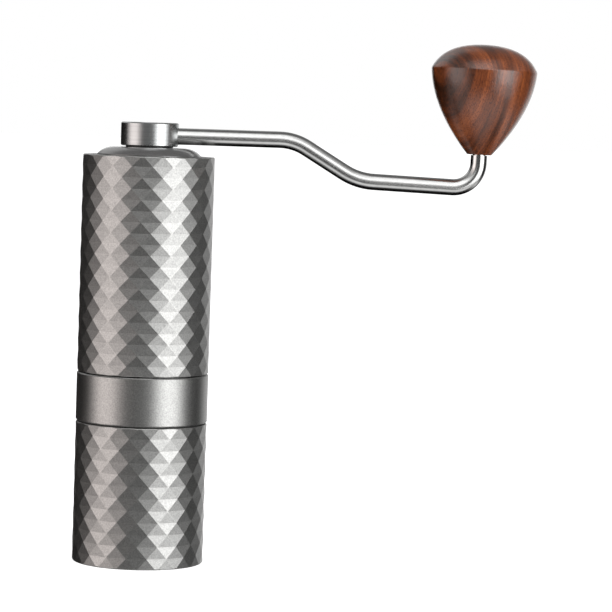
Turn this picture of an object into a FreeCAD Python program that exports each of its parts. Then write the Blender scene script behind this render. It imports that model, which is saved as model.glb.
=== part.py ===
import FreeCAD, Part

# Hand crank coffee grinder: a faceted barrel with a smooth waist collar, a screw-off grounds cup,
# a lift-off lid that carries the crank, and a conical burr set on a shaft in two ball bearings.
# Millimetres, +Z up. The origin is the centre of the cup's underside, and the crank points along +X.

import math
import os

from FreeCAD import Vector

# Fits and clearances
SEAT = 0.02                 # pressed or bonded seats
RUNNING = 0.06              # turning and sliding fits
LIFT_CLEARANCE = 0.25       # lid plug in the mouth
THREAD_CLEARANCE = 0.3      # cup thread, crest to root
EDGE_BREAK = 0.4            # chamfer on the turned outer edges

# Shaft and its two ball bearings
SHAFT_RADIUS = 4.0
SHAFT_HEX = 6.8             # across the flats of the drive end
SHAFT_HEX_LENGTH = 10.0
SHAFT_KEY = 6.4             # across the two flats that drive the cone burr
SHAFT_THREAD_RADIUS = 3.0
SHAFT_TAIL = 1.2            # shaft below the lowest clip
BEARING_RADIUS = 8.0
BEARING_WIDTH = 5.0
BALL_RADIUS = 1.0
BALL_COUNT = 9
BALL_PLAY = 0.04
RACE_LAND = 0.7             # race face to the middle of the balls, radially
BEARING_LIP = 1.2           # ledge that each bearing sits on
LEDGE_STEP = 0.3            # ledge bore outside the outer race's bore
BOSS_WALL = 2.0
BOSS_COVER = 0.8            # boss standing above its bearing
SPOKE_COUNT = 3
SPOKE_WIDTH = 4.0
CLIP_THICKNESS = 0.8
CLIP_BITE = 0.6             # depth of a clip in its groove
CLIP_STAND = 1.6            # how far a clip stands out of its groove
CLIP_MOUTH_DEG = 60.0

# Burr set
BURR_RADIUS = 18.0
BURR_HEIGHT = 15.0
BURR_EXIT_RADIUS = 15.9     # ring burr, inside, at its lower edge
BURR_INLET_RADIUS = 13.5    # ring burr, inside, at its upper edge
BURR_FINEST_GAP = 0.08
BURR_TEETH = 24
TOOTH_DEPTH = 0.9
TOOTH_WIDTH = 2.0
TOOTH_SKEW_DEG = 16.0
CONE_TOP_RADIUS = 6.8
CONE_STUB = 0.6             # cone above the ring burr's upper edge
ADJUST_PITCH = 0.5          # burr travel for a turn of the dial
FINER_TURNS = 2.0
COARSER_TURNS = 1.0
SPRING_WIRE_RADIUS = 0.45
SPRING_TURNS = 3.5
SPRING_PLAY = 0.1           # spring inside, round the shaft
WASHER_THICKNESS = 0.8
CLICK_PLATE_RADIUS = 10.0
CLICK_PLATE_THICKNESS = 0.8
CLICK_GAP = 0.2             # click plate to dial
CLICK_CIRCLE = 8.0
CLICK_BUMP_RADIUS = 1.0
CLICK_BUMP_HEIGHT = 0.12
CLICKS = 12
DIAL_RADIUS = 12.5
DIAL_THICKNESS = 6.0
DIAL_SCALLOP_RADIUS = 2.0
DIAL_SCALLOP_DEPTH = 0.9
DIAL_DIMPLE_DEPTH = 0.3

# Housing, collar, tube and cup
HOUSING_WALL = 4.0
HOUSING_SHOULDER = 2.0
HOUSING_THROAT = 1.0        # shoulder bore outside the ring burr's inlet
FUNNEL_HEIGHT = 4.0
BRIDGE_WALL = 1.8           # rim of the bridge that carries the lower bearing
FLANGE_THICKNESS = 0.4      # thin flange that shows as the upper seam
SEAM_DEPTH = 0.6            # how far the two seams lie inside the collar
TUBE_WALL = 2.65            # at the facets' thinnest place
COLLAR_WALL = 2.5
COLLAR_HEIGHT = 18.3
TUBE_HEIGHT = 82.0
CUP_HEIGHT = 53.2
CUP_FLOOR = 2.4
NECK_HEIGHT = 7.5
NECK_WALL = 1.4
NECK_GAP = 0.6              # neck to the screw heads
GASKET_THICKNESS = 0.5
THREAD_PITCH = 2.5
THREAD_DEPTH = 0.8
THREAD_ROOT_WIDTH = 1.2
THREAD_CREST_WIDTH = 0.5
THREAD_TURNS = 1.8
THREAD_SINK = 0.1           # ridge's foot inside the wall that it stands on
THREAD_LEAD_IN = 1.4        # neck below the first thread
SCREW_RADIUS = 1.25
SCREW_LENGTH = 8.0
SCREW_HEAD_RADIUS = 2.25
SCREW_HEAD_HEIGHT = 1.4
SCREW_SLOT_RADIUS = 0.75
SCREW_COUNT = 3

# Facets of the barrel: lozenges folded across the middle
FACETS_ROUND = 20
FACET_TRIM = 0.09           # share of a facet row lost at each turned end
TUBE_FACET_ROWS = 20
TUBE_FACET_TURN_DEG = 12.5
CUP_FACET_ROWS = 12
CUP_FACET_TURN_DEG = 17.0

# Top frame and lid
FRAME_WALL = 3.6
FRAME_DEPTH = 18.4          # rim to the frame's lower edge
LID_LAP = 1.3               # lid edge over the mouth
LID_RISE = 3.1
LID_EDGE = 0.35
LID_CROWN_RADIUS = 12.5     # flat middle of the lid
LID_WALL = 1.8
LID_PLUG_DEPTH = 5.0
LID_BOSS_DEPTH = 7.0
SEAL_RADIUS = 0.75
SEAL_PROUD = 0.2
BUSH_WALL = 1.4
BUSH_FLANGE = 1.0
BUSH_FLANGE_THICKNESS = 0.45

# Crank hub and arm
HUB_RADIUS = 10.9
HUB_HEIGHT = 8.9
HUB_NECK_RADIUS = 6.5
HUB_NECK_END = 9.0          # rim to the lower end of the neck
HUB_SOCKET_ROOF = 1.0       # socket above the shaft's end
ARM_RADIUS = 3.15
ARM_HEIGHT = 3.95           # arm axis above the hub's underside
ARM_ROOT = 2.5              # arm's inner end from the crank axis
ARM_FIRST_BEND = 54.8       # crank axis to the corner of the first bend
ARM_SLANT_DEG = 30.9
ARM_DROP = 14.6             # upper run to the corner of the second bend
ARM_FALL_DEG = 2.0          # slope of the lower run
ARM_FIRST_BEND_RADIUS = 20.0
ARM_SECOND_BEND_RADIUS = 24.0
ARM_LAST_BEND_RADIUS = 9.5
CRANK_RADIUS = 125.0
ARM_POST = 12.75            # lower run to the arm's shoulder below the knob
ARM_POST_LEAN_DEG = 1.5     # post's lean, outwards
PIN_RADIUS = 1.0
PIN_PLACE = 6.5             # pin from the crank axis
PIN_COVER = 1.6             # hub left above the pin

# Knob
KNOB_GAP = 0.3              # arm shoulder to the knob's foot
KNOB_RADIUS = 20.1
KNOB_FOOT_RADIUS = 4.7
KNOB_SHOULDER = 32.15       # foot to the widest place
KNOB_SWELL = 17.1           # foot to the side curve's pull point
KNOB_SWELL_RADIUS = 19.3    # radius of that point
KNOB_DOME = 9.6
KNOB_DOME_PULL = 15.6       # radius of the dome curve's pull point
SPINDLE_RADIUS = 2.5
SPINDLE_TAIL = 2.9          # spindle beyond its clip
KNOB_BUSH_WALL = 1.3
KNOB_BUSH_LENGTH = 20.0
KNOB_BORE_SPARE = 3.0       # bore beyond the spindle's end

# Derived heights, from the table up
Z_CUP_TOP = CUP_HEIGHT
Z_COLLAR = Z_CUP_TOP + GASKET_THICKNESS
Z_COLLAR_TOP = Z_COLLAR + COLLAR_HEIGHT
Z_TUBE = Z_COLLAR_TOP + FLANGE_THICKNESS
Z_RIM = Z_TUBE + TUBE_HEIGHT
Z_HOUSING = Z_CUP_TOP + NECK_HEIGHT + NECK_GAP + SCREW_HEAD_HEIGHT
Z_BURR_TOP = Z_HOUSING + BURR_HEIGHT
Z_SHOULDER_TOP = Z_BURR_TOP + HOUSING_SHOULDER
Z_CONE_TOP = Z_BURR_TOP + CONE_STUB
FINER_TRAVEL = FINER_TURNS * ADJUST_PITCH
COARSER_TRAVEL = COARSER_TURNS * ADJUST_PITCH
Z_LOWER_BOSS = Z_SHOULDER_TOP + FUNNEL_HEIGHT
Z_LOWER_BEARING = Z_LOWER_BOSS + BEARING_LIP
Z_HOUSING_TOP = Z_LOWER_BEARING + BEARING_WIDTH + BOSS_COVER
Z_UPPER_BOSS = Z_RIM - FRAME_DEPTH
Z_UPPER_BEARING = Z_UPPER_BOSS + BEARING_LIP
Z_CLICK_PLATE = Z_HOUSING - CLICK_PLATE_THICKNESS
Z_DIAL_TOP = Z_CLICK_PLATE - CLICK_GAP
Z_DIAL = Z_DIAL_TOP - DIAL_THICKNESS
Z_DIAL_CLIP = Z_DIAL - COARSER_TRAVEL - CLICK_GAP - CLIP_THICKNESS
Z_SHAFT_END = Z_DIAL_CLIP - SHAFT_TAIL
Z_SHAFT_KEY = Z_DIAL_TOP + FINER_TRAVEL + CLICK_GAP
Z_SHAFT_TOP = Z_RIM
Z_LID_TOP = Z_RIM + LID_RISE
Z_HUB = Z_LID_TOP + BUSH_FLANGE_THICKNESS + RUNNING
Z_HUB_TOP = Z_HUB + HUB_HEIGHT
Z_HUB_NECK = Z_RIM - HUB_NECK_END
Z_LID_BOSS = Z_LID_TOP - LID_BOSS_DEPTH
Z_ARM = Z_HUB + ARM_HEIGHT

# Derived radii, from the shaft out
BALL_CIRCLE = (SHAFT_RADIUS + BEARING_RADIUS) / 2
BOSS_RADIUS = BEARING_RADIUS + SEAT + BOSS_WALL
HOUSING_RADIUS = BURR_RADIUS + HOUSING_WALL
MOUTH_RADIUS = HOUSING_RADIUS - FRAME_WALL
BRIDGE_RADIUS = MOUTH_RADIUS + BRIDGE_WALL
TUBE_BORE = HOUSING_RADIUS + SEAT
FACET_VALLEY = math.cos(math.pi / FACETS_ROUND)
BODY_RADIUS = (TUBE_BORE + TUBE_WALL) / FACET_VALLEY
SEAM_RADIUS = BODY_RADIUS - SEAM_DEPTH
COLLAR_BORE = BODY_RADIUS - COLLAR_WALL
NECK_CREST = COLLAR_BORE - THREAD_CLEARANCE
NECK_RADIUS = NECK_CREST - THREAD_DEPTH
CUP_BORE = NECK_RADIUS - NECK_WALL
THROAT_RADIUS = BURR_INLET_RADIUS + HOUSING_THROAT
BURR_TAPER = (BURR_EXIT_RADIUS - BURR_INLET_RADIUS) / BURR_HEIGHT
CONE_BASE_RADIUS = BURR_EXIT_RADIUS - BURR_TAPER * FINER_TRAVEL - BURR_FINEST_GAP
SCREW_CIRCLE = BURR_RADIUS + HOUSING_WALL / 2
SPRING_RADIUS = SHAFT_RADIUS + SPRING_PLAY + SPRING_WIRE_RADIUS
PLUG_RADIUS = MOUTH_RADIUS - LIFT_CLEARANCE
LID_RADIUS = MOUTH_RADIUS + LID_LAP
BUSH_BORE = HUB_NECK_RADIUS + RUNNING
BUSH_RADIUS = BUSH_BORE + BUSH_WALL
KNOB_BUSH_BORE = SPINDLE_RADIUS + RUNNING
KNOB_BUSH_RADIUS = KNOB_BUSH_BORE + KNOB_BUSH_WALL

UP = Vector(0, 0, 1)
ORIGIN = Vector(0, 0, 0)
PAST = 1.0                  # how far a cutting tool runs past the face that it opens


# Shared shapes

def at(radius, angle_deg, z):
    """A point by its radius, its angle from +X and its height."""
    angle = math.radians(angle_deg)
    return Vector(radius * math.cos(angle), radius * math.sin(angle), z)


def rod(radius, z_low, z_high, x=0.0, y=0.0):
    return Part.makeCylinder(radius, z_high - z_low, Vector(x, y, z_low), UP)


def ring(outer, inner, z_low, z_high):
    return rod(outer, z_low, z_high).cut(rod(inner, z_low - PAST, z_high + PAST))


def turned(edges):
    """A solid of revolution about Z from the edges of a closed outline in the XZ plane."""
    return Part.Face(Part.Wire(edges)).revolve(ORIGIN, UP, 360)


def outline(points):
    """Straight edges through (radius, height) points, back to the first."""
    corners = [Vector(r, 0, z) for r, z in points]
    return [Part.LineSegment(a, b).toShape() for a, b in zip(corners, corners[1:] + corners[:1])]


def hex_bar(across_flats, z_low, z_high):
    corner = across_flats / math.sqrt(3)
    points = [at(corner, 60 * i, z_low) for i in range(7)]
    return Part.Face(Part.makePolygon(points)).extrude(UP * (z_high - z_low))


def flatted_bar(radius, across_flats, z_low, z_high):
    """A round bar with two flats, facing +Y and -Y."""
    slab = Part.makeBox(4 * radius, across_flats, z_high - z_low,
                        Vector(-2 * radius, -across_flats / 2, z_low))
    return rod(radius, z_low, z_high).common(slab)


def ring_of(shape, count):
    """Copies of a shape, evenly spaced about Z."""
    copies = []
    for i in range(count):
        copy = shape.copy()
        copy.rotate(ORIGIN, UP, 360.0 * i / count)
        copies.append(copy)
    return copies


def clip(shaft_radius, reach, z_low):
    """An open spring clip lying in a shaft's groove, with its mouth towards -X."""
    half = math.radians(CLIP_MOUTH_DEG / 2)
    far = 2 * reach
    mouth = [Vector(0, 0, z_low), Vector(-far, -far * math.tan(half), z_low),
             Vector(-far, far * math.tan(half), z_low), Vector(0, 0, z_low)]
    wedge = Part.Face(Part.makePolygon(mouth)).extrude(UP * CLIP_THICKNESS)
    return ring(reach, shaft_radius - CLIP_BITE, z_low, z_low + CLIP_THICKNESS).cut(wedge)


def clip_groove(shaft_radius, z_low):
    groove = shaft_radius - CLIP_BITE - SEAT
    return ring(shaft_radius + PAST, groove, z_low - SEAT, z_low + CLIP_THICKNESS + SEAT)


def thread_ridge(base_radius, crest_radius, z_start):
    """A helical ridge that stands on a cylinder, towards its crest radius."""
    sunk = base_radius + math.copysign(THREAD_SINK, base_radius - crest_radius)
    root, crest = THREAD_ROOT_WIDTH / 2, THREAD_CREST_WIDTH / 2
    profile = outline([(sunk, -root), (base_radius, -root), (crest_radius, -crest),
                       (crest_radius, crest), (base_radius, root), (sunk, root)])
    helix = Part.makeHelix(THREAD_PITCH, THREAD_PITCH * THREAD_TURNS, base_radius)
    ridge = Part.Wire(helix).makePipeShell([Part.Wire(profile)], True, True)
    ridge.translate(UP * z_start)
    return ridge


def faceted_barrel(z_low, height, rows, turn_deg):
    """A closed barrel folded into rows of flat triangles, with its corners on BODY_RADIUS."""
    row = height / (rows - 2 * FACET_TRIM)
    z_first = z_low - FACET_TRIM * row
    half_step = 180.0 / FACETS_ROUND

    def corner(level, place):
        return at(BODY_RADIUS, turn_deg + place * half_step, z_first + level * row)

    def between(a, b, share):
        return a + (b - a) * share

    faces, low_rim, high_rim = [], [], []
    for level in range(rows):
        for place in range(level % 2, 2 * FACETS_ROUND, 2):
            left, right = corner(level, place), corner(level, place + 2)
            top, next_top = corner(level + 1, place + 1), corner(level + 1, place + 3)
            if level == 0:
                cut_left = between(left, top, FACET_TRIM)
                cut_right = between(right, top, FACET_TRIM)
                cut_next = between(right, next_top, FACET_TRIM)
                low_rim += [cut_left, cut_right]
                upright, hanging = [cut_left, cut_right, top], [top, cut_right, cut_next, next_top]
            elif level == rows - 1:
                cut_left = between(top, left, FACET_TRIM)
                cut_right = between(top, right, FACET_TRIM)
                cut_next = between(next_top, right, FACET_TRIM)
                high_rim += [cut_left, cut_right]
                upright, hanging = [left, right, cut_right, cut_left], [right, cut_next, cut_right]
            else:
                upright, hanging = [left, right, top], [top, right, next_top]
            faces += [Part.Face(Part.makePolygon(f + f[:1])) for f in (upright, hanging)]
    faces += [Part.Face(Part.makePolygon(rim + rim[:1])) for rim in (low_rim, high_rim)]
    shell = Part.makeShell(faces)
    shell.sewShape()
    return Part.makeSolid(shell)


def edge_breaks(z_low, z_high):
    """Cutters that chamfer the two outer edges of a barrel."""
    inside, outside = BODY_RADIUS - EDGE_BREAK, BODY_RADIUS + PAST
    rise = EDGE_BREAK + PAST

    def cutter(z, inward):
        return turned(outline([(inside, z), (outside, z + inward * rise),
                               (outside, z - inward * PAST), (inside, z - inward * PAST)]))

    return [cutter(z_low, 1), cutter(z_high, -1)]


def bearing_boss(z_low, z_high):
    """A boss with a pocket that is open at the top and a ledge at the bottom."""
    boss = rod(BOSS_RADIUS, z_low, z_high)
    pocket = rod(BEARING_RADIUS + SEAT, z_low + BEARING_LIP, z_high + PAST)
    ledge_bore = rod(BALL_CIRCLE + RACE_LAND + LEDGE_STEP, z_low - PAST, z_high)
    return boss.cut(pocket).cut(ledge_bore)


def bearing_carrier(rim_radius, z_low, z_rim):
    """A rim round the mouth's bore, with spokes that carry a bearing's boss in the middle."""
    z_high = z_low + BEARING_LIP + BEARING_WIDTH + BOSS_COVER
    inner, outer = BEARING_RADIUS + BOSS_WALL / 2, (MOUTH_RADIUS + rim_radius) / 2
    spoke = Part.makeBox(outer - inner, SPOKE_WIDTH, z_high - z_low, Vector(inner, -SPOKE_WIDTH / 2, z_low))
    rim = ring(rim_radius, MOUTH_RADIUS, z_low, z_rim)
    return rim.fuse([bearing_boss(z_low, z_high)] + ring_of(spoke, SPOKE_COUNT)).removeSplitter()


def keyed_bore(z_low, z_high):
    """The cutter for a hole that slides on the shaft's two flats."""
    return flatted_bar(SHAFT_RADIUS + RUNNING, SHAFT_KEY + 2 * RUNNING, z_low - PAST, z_high + PAST)


# Barrel: tube, collar, gasket and cup

def body_tube():
    tube = faceted_barrel(Z_TUBE, TUBE_HEIGHT, TUBE_FACET_ROWS, TUBE_FACET_TURN_DEG)
    return tube.cut([rod(TUBE_BORE, Z_TUBE - PAST, Z_RIM + PAST)] + edge_breaks(Z_TUBE, Z_RIM))


def waist_collar():
    edge = EDGE_BREAK
    seat = HOUSING_RADIUS + SEAT
    shape = turned(outline([
        (COLLAR_BORE, Z_COLLAR), (BODY_RADIUS - edge, Z_COLLAR), (BODY_RADIUS, Z_COLLAR + edge),
        (BODY_RADIUS, Z_COLLAR_TOP - edge), (BODY_RADIUS - edge, Z_COLLAR_TOP), (seat, Z_COLLAR_TOP),
        (seat, Z_HOUSING), (COLLAR_BORE, Z_HOUSING)]))
    z_start = Z_CUP_TOP + THREAD_LEAD_IN + THREAD_PITCH / 2
    return shape.fuse(thread_ridge(COLLAR_BORE, COLLAR_BORE - THREAD_DEPTH, z_start))


def cup_gasket():
    return ring(SEAM_RADIUS, NECK_RADIUS + SEAT, Z_CUP_TOP, Z_COLLAR)


def grounds_cup():
    barrel = faceted_barrel(0.0, CUP_HEIGHT, CUP_FACET_ROWS, CUP_FACET_TURN_DEG)
    barrel = barrel.cut(edge_breaks(0.0, CUP_HEIGHT))
    neck = rod(NECK_RADIUS, Z_CUP_TOP - PAST, Z_CUP_TOP + NECK_HEIGHT)
    well = rod(CUP_BORE, CUP_FLOOR, Z_CUP_TOP + NECK_HEIGHT + PAST)
    ridge = thread_ridge(NECK_RADIUS, NECK_CREST, Z_CUP_TOP + THREAD_LEAD_IN)
    return barrel.fuse(neck).cut(well).fuse(ridge)


# Housing and burrs

def screw_places():
    half_turn = 180.0 / SPOKE_COUNT
    return [at(SCREW_CIRCLE, half_turn + 360.0 * i / SCREW_COUNT, Z_HOUSING) for i in range(SCREW_COUNT)]


def burr_housing():
    pocket, bridge_seat = BURR_RADIUS + SEAT, BRIDGE_RADIUS + SEAT
    z_seat = Z_BURR_TOP + SEAT
    sleeve = turned(outline([
        (pocket, Z_HOUSING), (HOUSING_RADIUS, Z_HOUSING), (HOUSING_RADIUS, Z_COLLAR_TOP),
        (SEAM_RADIUS, Z_COLLAR_TOP), (SEAM_RADIUS, Z_TUBE), (HOUSING_RADIUS, Z_TUBE),
        (HOUSING_RADIUS, Z_HOUSING_TOP), (bridge_seat, Z_HOUSING_TOP), (bridge_seat, Z_LOWER_BOSS),
        (MOUTH_RADIUS, Z_LOWER_BOSS), (THROAT_RADIUS, Z_SHOULDER_TOP), (THROAT_RADIUS, z_seat),
        (pocket, z_seat)]))
    holes = [rod(SCREW_RADIUS + SEAT, Z_HOUSING - PAST, Z_HOUSING + SCREW_LENGTH + SEAT, p.x, p.y)
             for p in screw_places()]
    return sleeve.cut(holes)


def bearing_bridge():
    return bearing_carrier(BRIDGE_RADIUS, Z_LOWER_BOSS, Z_HOUSING_TOP)


def burr_screws():
    screws = []
    z_head, z_socket = Z_HOUSING - SCREW_HEAD_HEIGHT, Z_HOUSING - SCREW_HEAD_HEIGHT / 2
    for p in screw_places():
        shank = rod(SCREW_RADIUS, z_socket, Z_HOUSING + SCREW_LENGTH, p.x, p.y)
        head = rod(SCREW_HEAD_RADIUS, z_head, Z_HOUSING, p.x, p.y)
        socket = hex_bar(2 * SCREW_SLOT_RADIUS, z_head - PAST, z_socket)
        socket.translate(Vector(p.x, p.y, 0))
        screws.append(head.fuse(shank).cut(socket).removeSplitter())
    return Part.makeCompound(screws)


def tooth_cutters(radius_low, radius_high, z_low, z_high, side):
    """V-shaped cutters along a cone: side is +1 to cut outwards from the axis and -1 to cut inwards."""
    free, deep = -side * PAST, side * TOOTH_DEPTH
    width = TOOTH_WIDTH * (TOOTH_DEPTH + PAST) / TOOTH_DEPTH
    low = [Vector(radius_low + free, -width / 2, z_low), Vector(radius_low + free, width / 2, z_low),
           Vector(radius_low + deep, 0, z_low)]
    height = z_high - z_low
    along = Vector(radius_high - radius_low, height * math.tan(math.radians(TOOTH_SKEW_DEG)), height)
    cutter = Part.Face(Part.makePolygon(low + low[:1])).extrude(along)
    return ring_of(cutter, BURR_TEETH)


def ring_burr():
    blank = turned(outline([(BURR_EXIT_RADIUS, Z_HOUSING), (BURR_RADIUS, Z_HOUSING),
                            (BURR_RADIUS, Z_BURR_TOP), (BURR_INLET_RADIUS, Z_BURR_TOP)]))
    reach = BURR_TAPER * PAST
    return blank.cut(tooth_cutters(BURR_EXIT_RADIUS + reach, BURR_INLET_RADIUS - reach,
                                   Z_HOUSING - PAST, Z_BURR_TOP + PAST, 1))


def cone_burr():
    blank = turned(outline([(0, Z_HOUSING), (CONE_BASE_RADIUS, Z_HOUSING),
                            (CONE_TOP_RADIUS, Z_CONE_TOP), (0, Z_CONE_TOP)]))
    slope = (CONE_BASE_RADIUS - CONE_TOP_RADIUS) / (Z_CONE_TOP - Z_HOUSING)
    teeth = tooth_cutters(CONE_BASE_RADIUS + slope * PAST, CONE_TOP_RADIUS + slope * HOUSING_SHOULDER,
                          Z_HOUSING - PAST, Z_CONE_TOP - HOUSING_SHOULDER, -1)
    return blank.cut(teeth + [keyed_bore(Z_HOUSING, Z_CONE_TOP)])


def click_plate():
    plate = rod(CLICK_PLATE_RADIUS, Z_CLICK_PLATE, Z_HOUSING)
    ball_rise = CLICK_BUMP_RADIUS - CLICK_BUMP_HEIGHT
    bump = Part.makeSphere(CLICK_BUMP_RADIUS, at(CLICK_CIRCLE, 0, Z_CLICK_PLATE + ball_rise))
    skin = rod(CLICK_PLATE_RADIUS, Z_CLICK_PLATE - PAST, Z_HOUSING)
    bumps = [b.common(skin) for b in ring_of(bump, 2)]
    return plate.fuse(bumps).cut(keyed_bore(Z_CLICK_PLATE, Z_HOUSING)).removeSplitter()


def adjusting_dial():
    bore, edge = SHAFT_THREAD_RADIUS + RUNNING, EDGE_BREAK
    wheel = turned(outline([
        (bore, Z_DIAL), (DIAL_RADIUS - edge, Z_DIAL), (DIAL_RADIUS, Z_DIAL + edge),
        (DIAL_RADIUS, Z_DIAL_TOP - edge), (DIAL_RADIUS - edge, Z_DIAL_TOP), (bore, Z_DIAL_TOP)]))
    scallop = rod(DIAL_SCALLOP_RADIUS, Z_DIAL - PAST, Z_DIAL_TOP + PAST,
                  DIAL_RADIUS + DIAL_SCALLOP_RADIUS - DIAL_SCALLOP_DEPTH)
    z_dimple = Z_DIAL_TOP + CLICK_BUMP_RADIUS - DIAL_DIMPLE_DEPTH
    dimple = Part.makeSphere(CLICK_BUMP_RADIUS, at(CLICK_CIRCLE, 0, z_dimple))
    return wheel.cut(ring_of(scallop, CLICKS) + ring_of(dimple, CLICKS))


# Shaft group

def drive_shaft():
    z_key_end = Z_CONE_TOP + FINER_TRAVEL + CLICK_GAP
    tail = rod(SHAFT_THREAD_RADIUS, Z_SHAFT_END, Z_SHAFT_KEY)
    keyed = flatted_bar(SHAFT_RADIUS, SHAFT_KEY, Z_SHAFT_KEY, z_key_end)
    stem = rod(SHAFT_RADIUS, z_key_end, Z_SHAFT_TOP - SHAFT_HEX_LENGTH)
    drive = hex_bar(SHAFT_HEX, Z_SHAFT_TOP - SHAFT_HEX_LENGTH, Z_SHAFT_TOP)
    shape = tail.fuse([keyed, stem, drive]).removeSplitter()
    return shape.cut([clip_groove(SHAFT_RADIUS, Z_UPPER_BEARING + BEARING_WIDTH + SEAT),
                      clip_groove(SHAFT_THREAD_RADIUS, Z_DIAL_CLIP)])


def shaft_circlip():
    return clip(SHAFT_RADIUS, SHAFT_RADIUS + CLIP_STAND, Z_UPPER_BEARING + BEARING_WIDTH + SEAT)


def dial_clip():
    return clip(SHAFT_THREAD_RADIUS, SHAFT_THREAD_RADIUS + CLIP_STAND, Z_DIAL_CLIP)


def thrust_washer():
    return ring(BALL_CIRCLE - RACE_LAND, SHAFT_RADIUS + RUNNING,
                Z_LOWER_BEARING - WASHER_THICKNESS, Z_LOWER_BEARING)


def burr_spring():
    z_low = Z_CONE_TOP + SEAT + SPRING_WIRE_RADIUS
    z_high = Z_LOWER_BEARING - WASHER_THICKNESS - SEAT - SPRING_WIRE_RADIUS
    helix = Part.makeHelix((z_high - z_low) / SPRING_TURNS, z_high - z_low, SPRING_RADIUS)
    section = Part.Wire(Part.makeCircle(SPRING_WIRE_RADIUS, Vector(SPRING_RADIUS, 0, 0), Vector(0, 1, 0)))
    spring = Part.Wire(helix).makePipeShell([section], True, True)
    spring.translate(UP * z_low)
    return spring


def ball_track(z_low):
    return Part.makeTorus(BALL_CIRCLE, BALL_RADIUS + BALL_PLAY, Vector(0, 0, z_low + BEARING_WIDTH / 2), UP)


def outer_race(z_low):
    blank = ring(BEARING_RADIUS, BALL_CIRCLE + RACE_LAND, z_low, z_low + BEARING_WIDTH)
    return blank.cut(ball_track(z_low))


def inner_race(z_low):
    blank = ring(BALL_CIRCLE - RACE_LAND, SHAFT_RADIUS + SEAT, z_low, z_low + BEARING_WIDTH)
    return blank.cut(ball_track(z_low))


def bearing_balls(z_low):
    ball = Part.makeSphere(BALL_RADIUS, Vector(BALL_CIRCLE, 0, z_low + BEARING_WIDTH / 2))
    return Part.makeCompound(ring_of(ball, BALL_COUNT))


# Top frame and lid

def top_frame():
    return bearing_carrier(HOUSING_RADIUS, Z_UPPER_BOSS, Z_RIM)


def seal_ring(extra):
    middle = Vector(0, 0, Z_RIM - LID_PLUG_DEPTH / 2)
    return Part.makeTorus(PLUG_RADIUS + SEAL_PROUD - SEAL_RADIUS, SEAL_RADIUS + extra, middle, UP)


def lid():
    bore, plug_inside = BUSH_RADIUS + SEAT, PLUG_RADIUS - LID_WALL
    z_under = Z_LID_TOP - LID_WALL
    z_edge, z_plug = Z_RIM + LID_EDGE, Z_RIM - LID_PLUG_DEPTH
    chord = Vector(LID_RADIUS - LID_CROWN_RADIUS, 0, z_edge - Z_LID_TOP)
    bulge = Vector(-chord.z, 0, chord.x).normalize() * (chord.Length / 8)
    crown, edge = Vector(LID_CROWN_RADIUS, 0, Z_LID_TOP), Vector(LID_RADIUS, 0, z_edge)
    dome = Part.Arc(crown, (crown + edge) * 0.5 + bulge, edge).toShape()
    rest = [(LID_RADIUS, z_edge), (LID_RADIUS, Z_RIM), (PLUG_RADIUS, Z_RIM), (PLUG_RADIUS, z_plug),
            (plug_inside, z_plug), (plug_inside, z_under), (bore + LID_WALL, z_under),
            (bore + LID_WALL, Z_LID_BOSS), (bore, Z_LID_BOSS), (bore, Z_LID_TOP),
            (LID_CROWN_RADIUS, Z_LID_TOP)]
    return turned([dome] + outline(rest)[:-1]).cut(seal_ring(SEAT))


def lid_seal():
    return seal_ring(0.0)


def lid_bush():
    flange = BUSH_RADIUS + BUSH_FLANGE
    z_flange = Z_LID_TOP + BUSH_FLANGE_THICKNESS
    return turned(outline([(BUSH_BORE, Z_LID_BOSS), (BUSH_RADIUS, Z_LID_BOSS), (BUSH_RADIUS, Z_LID_TOP),
                           (flange, Z_LID_TOP), (flange, z_flange), (BUSH_BORE, z_flange)]))


# Crank

def pin_bar(radius):
    return rod(radius, Z_HUB + EDGE_BREAK, Z_HUB_TOP - PIN_COVER, PIN_PLACE)


def crank_hub():
    edge = EDGE_BREAK
    blank = turned(outline([
        (0, Z_HUB_NECK), (HUB_NECK_RADIUS, Z_HUB_NECK), (HUB_NECK_RADIUS, Z_HUB),
        (HUB_RADIUS - edge, Z_HUB), (HUB_RADIUS, Z_HUB + edge), (HUB_RADIUS, Z_HUB_TOP - edge),
        (HUB_RADIUS - edge, Z_HUB_TOP), (0, Z_HUB_TOP)]))
    socket = hex_bar(SHAFT_HEX + 2 * RUNNING, Z_HUB_NECK - PAST, Z_SHAFT_TOP + HUB_SOCKET_ROOF)
    root = Vector(ARM_ROOT - SEAT, 0, Z_ARM)
    arm_hole = Part.makeCylinder(ARM_RADIUS + SEAT, HUB_RADIUS, root, Vector(1, 0, 0))
    pin_hole = rod(PIN_RADIUS + SEAT, Z_HUB - PAST, Z_HUB_TOP - PIN_COVER + SEAT, PIN_PLACE)
    groove = clip_groove(HUB_NECK_RADIUS, Z_LID_BOSS - RUNNING - CLIP_THICKNESS)
    return blank.cut([socket, arm_hole, pin_hole, groove])


def hub_circlip():
    return clip(HUB_NECK_RADIUS, HUB_NECK_RADIUS + CLIP_STAND, Z_LID_BOSS - RUNNING - CLIP_THICKNESS)


def arm_corners():
    """The corners of the arm's centre line, and the radius of the bend at each inner one."""
    slant, fall, lean = [math.radians(a) for a in (ARM_SLANT_DEG, ARM_FALL_DEG, ARM_POST_LEAN_DEG)]
    second = Vector(ARM_FIRST_BEND + ARM_DROP / math.tan(slant), 0, Z_ARM - ARM_DROP)
    foot = Vector(CRANK_RADIUS, 0, second.z - (CRANK_RADIUS - second.x) * math.tan(fall))
    root, first = Vector(ARM_ROOT, 0, Z_ARM), Vector(ARM_FIRST_BEND, 0, Z_ARM)
    radii = [ARM_FIRST_BEND_RADIUS, ARM_SECOND_BEND_RADIUS, ARM_LAST_BEND_RADIUS]
    shoulder = foot + Vector(math.sin(lean), 0, math.cos(lean)) * ARM_POST
    return [root, first, second, foot, shoulder], radii


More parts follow.
